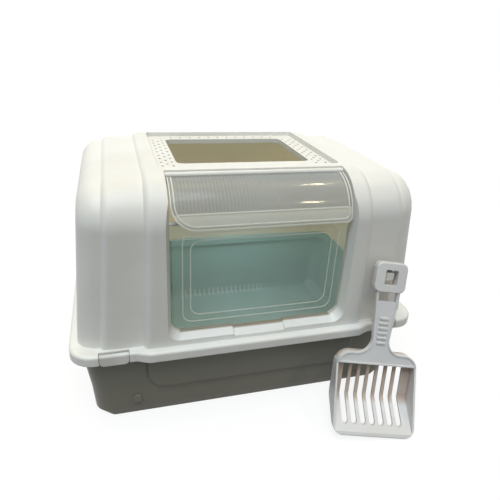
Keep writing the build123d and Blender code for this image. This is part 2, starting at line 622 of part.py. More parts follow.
def pan_face(inset, low):
    """Pan seen from the front, with rounded corners, hung from the middle of the scoop's eye."""
    half, high = PAN_WIDTH / 2 - inset, GRIP_END - inset
    face = make_face(Polyline((-half, low), (half, low), (half, high), (-half, high), close=True))
    face = fillet(face.vertices().sort_by(Axis.Y)[-2:], PAN_TOP_CORNER - inset)
    return fillet(face.vertices().sort_by(Axis.Y)[:2], PAN_TIP_CORNER)


def pan_side(inset):
    """Pan seen from the side: a straight back, then a floor that runs forward past the tip."""
    far = PAN_REACH + OVER
    fall = (PAN_LENGTH - PAN_BACK) / (PAN_REACH + PAN_DEPTH)
    knee = GRIP_END - PAN_BACK
    face = make_face(Polyline((-far, GRIP_END), (PAN_DEPTH, GRIP_END), (PAN_DEPTH, knee),
                              (-far, knee - (far + PAN_DEPTH) * fall), close=True))
    face = offset(face, -inset, kind=Kind.INTERSECTION) if inset else face
    bend = face.vertices().sort_by(Axis.X)[-2:].sort_by(Axis.Y)[0]
    return Plane.YZ * fillet(bend, PAN_BEND - inset)


def make_pan():
    low, plate = GRIP_END - PAN_LENGTH, GRIP_END - PAN_PLATE
    under, above, behind = low - OVER, GRIP_END + OVER, PAN_DEPTH + OVER
    mouth = [(0, above), (0, plate), (-PAN_REACH, low), (-PAN_REACH, under)]
    behind_mouth = make_face(Polyline(*mouth, (behind, under), (behind, above), close=True))
    pan = extrude(pan_side(0), PAN_WIDTH, both=True) & extrude(Plane.YZ * behind_mouth, PAN_WIDTH, both=True)
    pan &= extrude(Plane.XZ * pan_face(0, low), FLANGE_DEPTH, both=True)
    pan -= extrude(pan_side(PAN_WALL), PAN_WIDTH, both=True) & extrude(
        Plane.XZ * pan_face(PAN_WALL, low - OVER), FLANGE_DEPTH, both=True)
    start, finish = GRIP_END - SLOT_START, low + SLOT_TIP
    slots = [place * SlotOverall(start - finish, SLOT_WIDTH, rotation=90)
             for place in GridLocations(SLOT_PITCH, 1, SLOT_COUNT, 1)]
    slots = Pos(0, (start + finish) / 2) * (Sketch() + slots)
    return pan - extrude(Plane.XZ * slots, FLANGE_DEPTH, both=True)


def make_scoop():
    top, plate = -HEAD_HEIGHT / 2, GRIP_END - PAN_PLATE
    grip = make_face(Polyline((-GRIP_TOP_HALF, top), (GRIP_TOP_HALF, top), (GRIP_HALF, GRIP_END),
                              (-GRIP_HALF, GRIP_END), close=True))
    strip = Pos(0, (GRIP_END + plate) / 2) * Rectangle(PAN_WIDTH, PAN_PLATE)
    grip += pan_face(0, GRIP_END - PAN_LENGTH) & strip
    neck = [v for v in grip.vertices() if abs(v.X) < GRIP_HALF + NEAR and abs(v.Y - GRIP_END) < NEAR]
    grip = fillet(neck, NECK_ROUND)
    edge = grip - offset(grip, -EDGE_WIDTH)
    window = Pos(0, top - WINDOW_HEIGHT / 2) * Rectangle(WINDOW_WIDTH, WINDOW_HEIGHT)
    scoop = make_pan() + extrude(Plane.XZ * (grip - window), -GRIP_THICK)
    scoop += extrude(Plane.XZ * (edge - window), EDGE_PROUD)
    ribs = Pos(0, GRIP_END + RIB_RISE + (RIB_COUNT - 1) * RIB_PITCH / 2) * (Sketch() + [
        place * Rectangle(RIB_WIDTH, RIB_HEIGHT) for place in GridLocations(1, RIB_PITCH, 1, RIB_COUNT)])
    scoop += extrude(Plane.XZ * ribs, RIB_PROUD)
    head_face = RectangleRounded(HEAD_WIDTH, HEAD_HEIGHT, HEAD_CORNER)
    head = extrude(Plane.XZ.offset(HEAD_PROUD) * head_face, -HEAD_THICK)
    scoop += fillet(head.edges().group_by(Axis.Y)[0], HEAD_ROUND)
    scoop -= extrude(Plane.XZ * RectangleRounded(EYE_WIDTH, EYE_HEIGHT, EYE_CORNER), FLANGE_DEPTH, both=True)
    hang = Pos(PEG_X, -SHOULDER_DEPTH - SCOOP_STAND, PEG_Z - EYE_DROP)
    turn = Rot(0, 0, -SCOOP_YAW) * Rot(-SCOOP_LEAN, SCOOP_ROLL, 0)
    return hang * turn * Pos(0, HEAD_PROUD - HEAD_THICK / 2, 0) * scoop


def shape_parts():
    parts = {"tray": make_tray(), "hood_shell": make_hood(), "top_panel": make_top_panel(),
             "visor": make_visor(), "visor_bar": make_visor_bar(), "door": make_door(), "scoop": make_scoop()}
    for name, side in SIDES.items():
        parts[f"visor_pin_{name}"] = make_visor_pin(side)
        parts[f"door_pin_{name}"] = make_door_pin(side)
        for place, end in ENDS.items():
            parts[f"clip_{place}_{name}"] = make_clip(side, end)
            parts[f"clip_pin_{place}_{name}"] = clip_pin(side, end, CLIP_PIN_RADIUS, CLIP_PIN_BED)
    return parts


os.makedirs("parts", exist_ok=True)
for node, shape in shape_parts().items():
    export_step(shape, f"parts/{node}.step")
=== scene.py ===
"""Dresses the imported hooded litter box: moulded and clear plastic finishes, and a white studio round it."""

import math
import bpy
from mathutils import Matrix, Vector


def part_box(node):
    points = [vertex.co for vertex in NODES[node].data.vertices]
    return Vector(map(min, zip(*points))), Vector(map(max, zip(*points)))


bl_info = {
    "name": "Hooded Litter Box",
    "version": (1, 0, 0),
    "blender": (4, 5, 0),
    "location": "3D View > Sidebar > Litter Box",
    "description": "Finishes the pieces of a hooded litter box and sets up its studio",
    "category": "Object",
}

from collections import namedtuple

import bmesh
import bpy
from bpy.props import FloatProperty, FloatVectorProperty, PointerProperty
from mathutils import Matrix, Vector

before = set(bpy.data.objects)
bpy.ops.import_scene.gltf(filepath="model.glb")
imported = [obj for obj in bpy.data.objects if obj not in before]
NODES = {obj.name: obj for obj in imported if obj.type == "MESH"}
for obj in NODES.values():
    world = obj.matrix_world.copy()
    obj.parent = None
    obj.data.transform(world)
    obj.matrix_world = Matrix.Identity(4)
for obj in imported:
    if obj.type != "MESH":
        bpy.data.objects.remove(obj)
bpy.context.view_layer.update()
CLIP_NODES = [name for name in NODES if name.startswith("clip_") and "pin" not in name]
PIN_NODES = [name for name in NODES if "pin" in name]

# Places on the pieces that bound a finish, in metres. A pair is a fade along one axis, from where a finish
# starts to where it is full, and a field is a list of axes with their fades.
HOOD_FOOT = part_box("hood_shell")[0].z + 0.014       # upper end of the flange's lip
HOOD_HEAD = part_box("hood_shell")[1].z - 0.0075      # floor of the recess in the top
# Where the painted glow on the hood's inner walls may go
PAINTED_GLOW_FIELD = (("Z", HOOD_FOOT, HOOD_FOOT + 0.004), ("Z", HOOD_HEAD, HOOD_HEAD - 0.001))
FRAME_BACK = (-0.105, -0.103)                       # behind the frame of the front opening
FRAME_SIDE = (0.128, 0.129)                         # beside it, from the middle
DOOR_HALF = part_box("door")[1].x
# Where the painted shade in the sill's gap under the door goes
SILL_GAP = (("Y", -0.1585, -0.1560), ("Y", -0.1480, -0.1490), ("Z", 0.1275, 0.1290), ("Z", 0.1345, 0.1338))

PANEL_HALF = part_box("top_panel")[1].x
PANEL_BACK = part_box("top_panel")[1].y
# Bands of pores that get painted shade
SIDE_PORES = (PANEL_HALF - 0.0248, PANEL_HALF - 0.0052)
REAR_PORES = (PANEL_BACK - 0.0166, PANEL_BACK - 0.0108)

TRAY_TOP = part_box("tray")[1].z
TRAY_RIM = (TRAY_TOP - 0.0142, TRAY_TOP - 0.0137)
TRAY_INSIDE = (0.1515, 0.1512)                      # inner faces low down, from the middle
ABOVE_STOPS = (0.036, 0.037)
# Where the painted pale glints along the tray's back foot go
RIB_GLINT_FIELD = (("X", -0.075, -0.060), ("X", 0.150, 0.040), ("Y", 0.136, 0.139), ("Z", 0.015, 0.012))

# A sheet is bent round its level axis and flat below it; the door's axis is far above it, so all of it is flat
VISOR_RELIEF = {"Axis Depth": -0.1075, "Axis Height": 0.280, "Face": 0.055, "Line Top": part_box("visor")[1].z}
DOOR_RELIEF = {"Axis Depth": 0.0, "Axis Height": 1.0, "Face": 0.15709, "Line Top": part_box("door")[1].z - 0.008}
VISOR_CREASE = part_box("visor")[0].z + 0.020
BELOW_CREASE = (VISOR_CREASE + 0.0005, VISOR_CREASE - 0.0005)
# Fade of the painted reflection of fine upright streaks on the visor
REFLECTION_STREAK_FADE = (0.02, -0.06)
LINE_RISE = (0.0001, 0.0005)                        # height of a raised line above its sheet

# The scoop hangs at an angle, so its pan has its own directions
SCOOP_FRONT = (-0.181, -0.932, 0.314)
SCOOP_RIGHT = (0.970, -0.220, -0.094)
SCOOP_DEEP_END = (0.203, 0.194)
SCOOP_MIDDLE = 0.1939
SCOOP_INNER_HALF = 0.0565

# Moulded plastic. A pair for MULTIPLY_ADD is a factor and what is added; any other pair is a fade.
PLASTIC_IOR = 1.49
PLASTIC_GLOSS = 0.5
SINK_MARKS = 38.0                                   # in a metre
SINK_SHARE, GRAIN_SHARE = 0.35, 0.65                # of the relief
DRIFT_FADE = (0.42, 0.72)
PATCH_ROUGHNESS = (0.10, -0.05)
GRAIN_ROUGHNESS = (0.08, -0.04)
SKIN_BUMP = {"Strength": 0.35, "Distance": 0.00006}
INNER_FADE = (0.0, -0.01)
SHARP_EDGE = (0.97, 0.80)
BEVEL_SAMPLES = 4
# Sharp edges rub smoother, and are made paler as a painted highlight
RUB_AND_HIGHLIGHT_BY_HEIGHT = (0.5, 0.05)
EDGE_HIGHLIGHT_PALE = {"Saturation": 0.85, "Value": 1.18}
RUBBED_ROUGHNESS = -0.15

# Wear and dust, and painted shade and glints
DUST_CLOUDS = 24.0                                  # in a metre
DUST_BY_CLOUD = (0.6, 0.4)
SCUFF_STRETCH = {"Rotation": (0.3, 0.2, 0.6), "Scale": (900, 40, 40)}
SCUFF_FADE = (0.70, 0.78)
SCUFF_PATCHES = 14.0                                # in a metre
SCUFF_PATCH_FADE = (0.50, 0.68)
SCUFF_PALE = {"Saturation": 0.8, "Value": 1.25}
SCUFF_ROUGHNESS = 0.2
PORE_WALL = (0.5, 0.2)                              # how level a face is
# How dark the painted shade in the pores is
PORE_SHADE = 0.8
# How dark the painted shade in the sill's gap is
SILL_SHADE = 0.75
# Painted brown shade in the scoop's pan
SHADE_FACING = (-0.3, -0.1)
SHADE_CLOUDS = 60.0                                  # in a metre
SHADE_BY_CLOUD = (0.5, 0.55)
# Fade and cover of the painted pale glints on the tray's back foot
RIB_GLINT_FADE = (0.45, 0.75)
RIB_GLINT_COVER = 0.8

# Clear sheets
SHEET_DRIFT = 0.92
SHEET_GRAIN = 6.0                                   # times as coarse as on the mouldings
SHEET_BUMP = {"Strength": 0.06, "Distance": 0.00003}
SHEET_COAT = {"Coat Weight": 0.35, "Coat Roughness": 0.03}
CUT_EDGE = (0.75, 0.35)                             # how square a face is to the sheet
GRAZING_BLEND = 0.35
GRAZING_POWER = 2.0
VISOR_GRAZING_COVER = 0.85
DOOR_GRAZING_COVER = 0.70
# Cover and shade of the visor's painted reflection of upright streaks
REFLECTION_STREAK_COVER = 0.36
REFLECTION_STREAK_SHADE = 0.5
FROST_COVER = 0.95

# Studio
WHITE = (1.0, 1.0, 1.0, 1.0)
BLACK = (0.0, 0.0, 0.0, 1.0)
FLOOR_HALF = 6.0
SENSOR_WIDTH = 36.0
CLIP_START = 0.01
BULB_TONE = (1.0, 0.86, 0.58)

# A lamp's name, the side it shines from, its spread in degrees, its level among the studio's settings, the
# part of that level it takes, and its tone
Lamp = namedtuple("Lamp", "name side spread level part tone")
LAMPS = (
    Lamp("overhead", (-0.20, 0.45, 1.0), 55.0, "overhead", 1.0, (1.0, 0.80, 0.46)),
    Lamp("left_fill", (-1.0, -0.15, 0.35), 70.0, "fill", 0.6, (0.50, 0.80, 1.0)),
    Lamp("rear_fill", (0.30, 1.0, 0.30), 70.0, "fill", 1.0, (0.80, 0.92, 1.0)),
    Lamp("window", (-0.20, -0.37, 1.0), 45.0, "window", 1.0, (0.84, 0.94, 1.0)),
    Lamp("ceiling_bulb", (0.402, 0.051, 0.914), 3.5, "bulb", 1.0, BULB_TONE),
    Lamp("front_bulb", (0.397, -0.713, 0.577), 3.0, "bulb", 1.0, BULB_TONE),
)


def colour(name, description, default):
    return FloatVectorProperty(name=name, description=description, subtype="COLOR", size=3, min=0.0, max=1.0,
                               default=default)


def share(name, description, default):
    return FloatProperty(name=name, description=description, subtype="FACTOR", min=0.0, max=1.0, default=default)


def length(name, description, default):
    return FloatProperty(name=name, description=description, subtype="DISTANCE", unit="LENGTH", default=default)


def angle(name, description, degrees):
    return FloatProperty(name=name, description=description, subtype="ANGLE", default=math.radians(degrees))


class LitterBoxFinish(bpy.types.PropertyGroup):
    """Colours and surface sizes of the box's plastics."""

    hood: colour("Hood", "White moulding of the hood, its bar and its top panel", (0.80, 0.79, 0.76))
    # Painted glow: an emission on the hood's inner walls that stands in for light reaching its inside
    hood_painted_glow: colour("Hood glow", "Warm light that the thin white wall lets through to its inside",
                      (0.14, 0.108, 0.056))
    hood_drift: colour("Hood drift", "Tone that the white drifts towards in patches", (0.765, 0.75, 0.715))
    # The tray is one moulding in two tones: the dark outside is painted shade under the flange, and the bright teal
    # inside is painted light of its lit interior
    tray: colour("Tray", "Grey-green outside of the tray", (0.132, 0.138, 0.112))
    tray_drift: colour("Tray drift", "Tone that the outside drifts towards in patches", (0.124, 0.132, 0.108))
    tray_lit_inside: colour("Tray inside", "Teal inside of the tray", (0.45, 0.73, 0.72))
    # Painted highlight: pale glints in a row along the tray's back foot, colour only, drawn as small ribs
    rib_glint: colour("Ribs", "Pale small ribs inside the tray", (0.80, 0.95, 0.92))
    clip: colour("Clips", "Pale grey moulding of the clips and the pins", (0.48, 0.465, 0.44))
    scoop: colour("Scoop", "White moulding of the scoop", (0.70, 0.69, 0.695))
    scoop_drift: colour("Scoop drift", "Tone that the scoop drifts towards in patches", (0.66, 0.645, 0.64))
    # Painted brown shade, standing in for shade and brown bounce light in the deep end of the scoop's pan
    scoop_painted_shade: colour("Scoop soil", "Brown bloom in the deep end of the scoop", (0.47, 0.35, 0.27))
    visor: colour("Visor", "Tint of the clear visor", (0.45, 0.465, 0.465))
    door: colour("Door", "Tint of the clear door", (0.52, 0.64, 0.61))
    # Painted highlight: this pale colour is put on the clear sheets' raised lines and cut edges, and on the visor's
    # frosted band
    sheet_line: colour("Sheet lines", "Pale raised lines and cut edges of the clear sheets", (0.86, 0.86, 0.80))
    # The dust colour is also used for the painted shade in the top panel's pores and in the gap under the door
    dust: colour("Dust", "Brown dust low on the tray, in the pores and under the door", (0.23, 0.18, 0.13))
    grain: length("Grain", "Size of the fine grain moulded into the plastic", 0.0009)
    drift: length("Drift", "Size of the patches that the colour drifts over", 0.11)
    # Pitch of the visor's painted reflection of fine upright streaks
    reflection_streak_pitch: length("Reed pitch", "Distance between the fine upright reeds of the visor", 0.0045)
    # Pitch of the painted glints along the tray's back foot
    rib_glint_pitch: length("Rib pitch", "Distance between the small ribs inside the tray's back foot", 0.0095)
    visor_cover: share("Visor cover", "How much the visor hides when looked at squarely", 0.52)
    door_cover: share("Door cover", "How much the door hides when looked at squarely", 0.16)
    visor_line_cover: share("Visor line cover", "How much the raised lines of the visor hide", 0.80)
    door_line_cover: share("Door line cover", "How much the raised lines of the door hide", 0.55)


class LitterBoxStudio(bpy.types.PropertyGroup):
    """Camera and light of the studio."""

    camera: FloatVectorProperty(name="Camera", description="Place of the camera", subtype="TRANSLATION",
                                unit="LENGTH", size=3, default=(-0.1768, -0.6705, 0.5052))
    yaw: angle("Yaw", "Turn of the camera to the right of +Y", 17.19)
    pitch: angle("Pitch", "Tilt of the camera below the horizon", 25.65)
    roll: angle("Roll", "Roll of the camera about its own line of sight", 3.42)
    lens: FloatProperty(name="Lens", description="Focal length on a 36 mm sensor", subtype="DISTANCE_CAMERA",
                        default=33.7)
    floor: colour("Floor", "Pale floor, as it catches the light", (0.15, 0.15, 0.15))
    floor_glow: share("Floor glow", "How far the floor is lifted towards plain white", 0.86)
    sky: share("Sky", "Strength of the even light from all round", 0.13)
    overhead: share("Overhead", "Level of the warm light from above and behind", 0.33)
    window: share("Window", "Level of the cool light from high in front", 0.70)
    fill: share("Fill", "Level of the cool lights from the left and from behind", 0.08)
    bulb: share("Bulb", "Level of the two small lamps that glint in the visor", 0.08)


class NodeBuilder:
    """Adds nodes to one node tree; a value given as a socket is linked."""

    def __init__(self, tree):
        self.tree = tree

    def link(self, value, socket):
        self.tree.links.new(value, socket)

    def add(self, kind, values=(), **settings):
        made = self.tree.nodes.new(kind)
        for name, value in settings.items():
            setattr(made, name, value)
        for socket, value in dict(values).items():
            if isinstance(value, bpy.types.NodeSocket):
                self.link(value, made.inputs[socket])
            else:
                made.inputs[socket].default_value = value
        return made

    def group(self, name, values):
        """Outputs of a shared node group, which is made when it is first used."""
        tree = bpy.data.node_groups.get(name) or GROUPS[name]()
        return self.add("ShaderNodeGroup", values, node_tree=tree).outputs

    def coordinates(self):
        return self.add("ShaderNodeTexCoord").outputs

    def place(self):
        """X, Y and Z in the object's own coordinates."""
        return self.add("ShaderNodeSeparateXYZ", {0: self.coordinates()["Object"]}).outputs

    def math(self, operation, *terms, clamp=False):
        return self.add("ShaderNodeMath", dict(enumerate(terms)), operation=operation, use_clamp=clamp).outputs[0]

    def mix(self, factor, first, second):
        values = {0: factor, 6: first, 7: second}
        return self.add("ShaderNodeMix", values, data_type="RGBA").outputs[2]

    def noise(self, place, scale, detail=2.0, distortion=0.0):
        values = {"Vector": place, "Scale": scale, "Detail": detail, "Distortion": distortion}
        return self.add("ShaderNodeTexNoise", values).outputs["Fac"]

    def vector(self, operation, *terms):
        made = self.add("ShaderNodeVectorMath", dict(enumerate(terms)), operation=operation)
        return made.outputs["Value" if operation in {"DOT_PRODUCT", "LENGTH"} else "Vector"]

    def wave(self, value, pitch):
        """Ridges of 0 to 1 at a pitch along a value."""
        turns = self.math("SINE", self.math("MULTIPLY", value, 2 * math.pi / pitch))
        return self.math("MULTIPLY_ADD", turns, 0.5, 0.5)

    def band(self, value, low, high):
        """Smooth step of a value from 0 at low to 1 at high."""
        values = {"Value": value, "From Min": low, "From Max": high}
        return self.add("ShaderNodeMapRange", values, interpolation_type="SMOOTHSTEP").outputs[0]

    def between(self, value, low, high):
        """1 where a value is between two limits."""
        return self.math("MULTIPLY", self.math("GREATER_THAN", value, low), self.math("LESS_THAN", value, high))

    def field(self, mask, place, fades):
        """A mask kept only where every fade of a field is full."""
        for axis, low, high in fades:
            mask = self.math("MULTIPLY", mask, self.band(place[axis], low, high))
        return mask


def rgba(value):
    return (*value, 1.0)


def new_group(name, inputs, outputs):
    """Empty shader node group with its sockets, and a builder for its nodes."""
    tree = bpy.data.node_groups.new(name, "ShaderNodeTree")
    for kind, sockets in (("INPUT", inputs), ("OUTPUT", outputs)):
        for label, socket in sockets.items():
            tree.interface.new_socket(label, in_out=kind, socket_type=f"NodeSocket{socket}")
    build = NodeBuilder(tree)
    return build, build.add("NodeGroupInput").outputs, build.add("NodeGroupOutput").inputs


def moulded_skin_group():
    """Grain, sink marks and slow colour drift of a moulded plastic."""
    build, given, out = new_group(
        "Moulded Skin",
        {"Colour": "Color", "Drift Colour": "Color", "Grain Size": "Float", "Drift Size": "Float",
         "Roughness": "Float"},
        {"Colour": "Color", "Roughness": "Float", "Height": "Float"})
    place = build.coordinates()["Object"]
    grain = build.noise(place, build.math("DIVIDE", 1.0, given["Grain Size"]), detail=1.0)
    patches = build.noise(place, build.math("DIVIDE", 1.0, given["Drift Size"]), detail=3.0, distortion=0.4)
    sinks = build.noise(place, SINK_MARKS)
    uneven = build.math("MULTIPLY_ADD", patches, *PATCH_ROUGHNESS)
    speckle = build.math("MULTIPLY_ADD", grain, *GRAIN_ROUGHNESS)
    rough = build.math("ADD", given["Roughness"], build.math("ADD", uneven, speckle), clamp=True)
    height = build.math("MULTIPLY_ADD", sinks, SINK_SHARE, build.math("MULTIPLY", grain, GRAIN_SHARE))
    build.link(build.mix(build.band(patches, *DRIFT_FADE), given["Colour"], given["Drift Colour"]), out["Colour"])
    build.link(rough, out["Roughness"])
    build.link(height, out["Height"])
    return build.tree


def wear_group():
    """Fine scuffs, and dust that thins out with height."""
    build, given, out = new_group(
        "Wear",
        {"Colour": "Color", "Dust Colour": "Color", "Dust Top": "Float", "Dust": "Float", "Scuffs": "Float"},
        {"Colour": "Color", "Scuff Mask": "Float"})
    place = build.coordinates()["Object"]
    height = build.add("ShaderNodeSeparateXYZ", {0: place}).outputs["Z"]
    low = build.math("SUBTRACT", 1.0, build.band(height, 0.0, given["Dust Top"]))
    cloud = build.math("MULTIPLY_ADD", build.noise(place, DUST_CLOUDS, detail=4.0), *DUST_BY_CLOUD, clamp=True)
    dusty = build.math("MULTIPLY", build.math("MULTIPLY", low, cloud), given["Dust"])
    stretched = build.add("ShaderNodeMapping", {"Vector": place, **SCUFF_STRETCH}).outputs[0]
    streaks = build.band(build.noise(stretched, 1.0, detail=1.0), *SCUFF_FADE)
    where = build.band(build.noise(place, SCUFF_PATCHES), *SCUFF_PATCH_FADE)
    scuffs = build.math("MULTIPLY", build.math("MULTIPLY", streaks, where), given["Scuffs"])
    dusted = build.mix(dusty, given["Colour"], given["Dust Colour"])
    pale = build.add("ShaderNodeHueSaturation", {"Color": dusted, **SCUFF_PALE}).outputs[0]
    build.link(build.mix(scuffs, dusted, pale), out["Colour"])
    build.link(scuffs, out["Scuff Mask"])
    return build.tree


def inner_wall_group():
    """Mask of the faces that look towards a point on the middle line of the box."""
    build, given, out = new_group("Inner Wall", {"Middle Height": "Float"}, {"Mask": "Float"})
    where = build.coordinates()
    middle = build.add("ShaderNodeCombineXYZ", {"Z": given["Middle Height"]}).outputs[0]
    outward = build.vector("SUBTRACT", where["Object"], middle)
    build.link(build.band(build.vector("DOT_PRODUCT", where["Normal"], outward), *INNER_FADE), out["Mask"])
    return build.tree


def sheet_relief_group():
    """Masks of the raised lines and of the cut edges of a clear sheet that is bent round a level axis."""
    build, given, out = new_group(
        "Sheet Relief", {"Axis Depth": "Float", "Axis Height": "Float", "Face": "Float", "Line Top": "Float"},
        {"Line": "Float", "Edge": "Float"})
    where = build.coordinates()
    place = build.add("ShaderNodeSeparateXYZ", {0: where["Object"]}).outputs
    depth = build.math("SUBTRACT", place["Y"], given["Axis Depth"])
    height = build.math("MAXIMUM", build.math("SUBTRACT", place["Z"], given["Axis Height"]), 0.0)
    spoke = build.add("ShaderNodeCombineXYZ", {"Y": depth, "Z": height}).outputs[0]
    proud = build.math("SUBTRACT", build.vector("LENGTH", spoke), given["Face"])
    square = build.vector("DOT_PRODUCT", where["Normal"], build.vector("NORMALIZE", spoke))
    below = build.math("LESS_THAN", place["Z"], given["Line Top"])
    build.link(build.math("MULTIPLY", build.band(proud, *LINE_RISE), below), out["Line"])
    build.link(build.band(build.math("ABSOLUTE", square), *CUT_EDGE), out["Edge"])
    return build.tree


def soft_edge_group():
    """Normal rounded off over sharp edges, and a mask of those edges."""
    build, given, out = new_group("Soft Edge", {"Radius": "Float"}, {"Normal": "Vector", "Edge": "Float"})
    rounded = build.add("ShaderNodeBevel", {"Radius": given["Radius"]}, samples=BEVEL_SAMPLES).outputs[0]
    plain = build.add("ShaderNodeNewGeometry").outputs["Normal"]
    build.link(rounded, out["Normal"])
    build.link(build.band(build.vector("DOT_PRODUCT", rounded, plain), *SHARP_EDGE), out["Edge"])
    return build.tree


GROUPS = {"Moulded Skin": moulded_skin_group, "Wear": wear_group, "Inner Wall": inner_wall_group,
          "Sheet Relief": sheet_relief_group, "Soft Edge": soft_edge_group}


def new_material(name):
    """Material with an empty tree, and a builder for its nodes."""
    material = bpy.data.materials.new(name)
    material.use_nodes = True
    material.node_tree.nodes.clear()
    return material, NodeBuilder(material.node_tree)


def close_material(material, shader):
    output = material.node_tree.nodes.new("ShaderNodeOutputMaterial")
    material.node_tree.links.new(shader.outputs[0], output.inputs["Surface"])
    return material


def skin_of(build, tone, drift_tone, roughness, coarser=1.0):
    finish = bpy.context.scene.litter_box_finish
    return build.group("Moulded Skin", {
        "Colour": rgba(tone), "Drift Colour": rgba(drift_tone), "Roughness": roughness,
        "Grain Size": coarser * finish.grain, "Drift Size": finish.drift})


def moulded_plastic(name, tone, drift_tone, roughness, edge, dust=0.0, scuffs=0.0, change=None, glow=None):
    """Satin moulded plastic with grain, drift, dust, scuffs and soft edges of a radius, whose sharp edges are rubbed
    smoother and made paler as a painted highlight.

    change may alter the colour before it wears, and glow gives a painted glow, an emission that stands in for light
    coming through the wall.
    """
    finish = bpy.context.scene.litter_box_finish
    material, build = new_material(name)
    skin = skin_of(build, tone, drift_tone, roughness)
    base = change(build, skin["Colour"]) if change else skin["Colour"]
    worn = build.group("Wear", {"Colour": base, "Dust Colour": rgba(finish.dust), "Dust Top": TRAY_TOP,
                                "Dust": dust, "Scuffs": scuffs})
    soft = build.group("Soft Edge", {"Radius": edge})
    # painted highlight: sharp edges are made paler, and rubbed smoother
    rub_and_highlight = build.math("MULTIPLY", soft["Edge"], build.math("MULTIPLY_ADD", skin["Height"], *RUB_AND_HIGHLIGHT_BY_HEIGHT))
    pale = build.add("ShaderNodeHueSaturation", {"Color": worn["Colour"], **EDGE_HIGHLIGHT_PALE})
    rough = build.math("MULTIPLY_ADD", worn["Scuff Mask"], SCUFF_ROUGHNESS, skin["Roughness"])
    rough = build.math("MULTIPLY_ADD", rub_and_highlight, RUBBED_ROUGHNESS, rough, clamp=True)
    relief = build.add("ShaderNodeBump", {**SKIN_BUMP, "Height": skin["Height"], "Normal": soft["Normal"]})
    values = {"Base Color": build.mix(rub_and_highlight, worn["Colour"], pale.outputs[0]), "Roughness": rough,
              "Normal": relief.outputs[0], "IOR": PLASTIC_IOR, "Specular IOR Level": PLASTIC_GLOSS}
    if glow:
        values |= {"Emission Color": glow(build), "Emission Strength": 1.0}
    return close_material(material, build.add("ShaderNodeBsdfPrincipled", values))


def painted_glow_inside(build):
    """Painted warm glow, an emission on the hood's inner walls that stands in for light reaching them, but not on its
    flange, the frame of its opening or its recess.
    """
    place = build.place()
    inner = build.field(build.group("Inner Wall", {"Middle Height": HOOD_FOOT})["Mask"], place, PAINTED_GLOW_FIELD)
    behind = build.band(place["Y"], *FRAME_BACK)
    beside = build.band(build.math("ABSOLUTE", place["X"]), *FRAME_SIDE)
    inner = build.math("MULTIPLY", inner, build.math("MAXIMUM", behind, beside))
    return build.mix(inner, BLACK, rgba(bpy.context.scene.litter_box_finish.hood_painted_glow))


def lit_teal_inside(build, outside):
    """Brighter teal on the tray's rim and inner faces, as painted light against the painted shade of the dark
    outside, with a row of painted pale glints along the back foot drawn as small ribs.
    """
    finish = bpy.context.scene.litter_box_finish
    place = build.place()
    # painted pale glints in a row along the back foot
    ribs = build.field(build.band(build.wave(place["X"], finish.rib_glint_pitch), *RIB_GLINT_FADE), place, RIB_GLINT_FIELD)
    rib_glinted = build.mix(build.math("MULTIPLY", ribs, RIB_GLINT_COVER), rgba(finish.tray_lit_inside), rgba(finish.rib_glint))
    within = build.band(build.math("ABSOLUTE", place["Y"]), *TRAY_INSIDE)
    above = build.band(place["Z"], *ABOVE_STOPS)
    inner = build.group("Inner Wall", {"Middle Height": TRAY_TOP})["Mask"]
    inner = build.math("MULTIPLY", inner, build.math("MAXIMUM", within, above))
    return build.mix(build.math("MAXIMUM", inner, build.band(place["Z"], *TRAY_RIM)), outside, rib_glinted)


def shade_in_pores(build, white):
    """Painted shade in the pores of the top panel, beside and behind its hole, in the dust colour."""
    finish = bpy.context.scene.litter_box_finish
    place = build.place()
    upright = build.add("ShaderNodeSeparateXYZ", {0: build.coordinates()["Normal"]}).outputs["Z"]
    side = build.between(build.math("ABSOLUTE", place["X"]), *SIDE_PORES)
    rear = build.between(place["Y"], *REAR_PORES)
    walls = build.band(build.math("ABSOLUTE", upright), *PORE_WALL)
    pores = build.math("MULTIPLY", walls, build.math("MAXIMUM", side, rear))
    return build.mix(build.math("MULTIPLY", pores, PORE_SHADE), white, rgba(finish.dust))


def shade_on_sill(build, white):
    """Painted shade on the sill in the gap under the door, in the dust colour."""
    finish = bpy.context.scene.litter_box_finish
    place = build.place()
    under_door = build.math("LESS_THAN", build.math("ABSOLUTE", place["X"]), DOOR_HALF)
    gap = build.field(under_door, place, SILL_GAP)
    return build.mix(build.math("MULTIPLY", gap, SILL_SHADE), white, rgba(finish.dust))


def shade_in_pan(build, white):
    """Painted brown shade in the deep end of the scoop's pan, on the faces that look out of it."""
    finish = bpy.context.scene.litter_box_finish
    where = build.coordinates()
    depth = build.vector("DOT_PRODUCT", where["Object"], SCOOP_FRONT)
    across = build.vector("DOT_PRODUCT", where["Object"], SCOOP_RIGHT)
    facing = build.vector("DOT_PRODUCT", where["Normal"], SCOOP_FRONT)
    pan_shade = build.math("MULTIPLY", build.band(depth, *SCOOP_DEEP_END),
                      build.math("COMPARE", across, SCOOP_MIDDLE, SCOOP_INNER_HALF))
    pan_shade = build.math("MULTIPLY", pan_shade, build.band(facing, *SHADE_FACING))
    clouds = build.noise(where["Object"], SHADE_CLOUDS, detail=3.0)
    cloud = build.math("MULTIPLY_ADD", clouds, *SHADE_BY_CLOUD, clamp=True)
    return build.mix(build.math("MULTIPLY", pan_shade, cloud), white, rgba(finish.scoop_painted_shade))


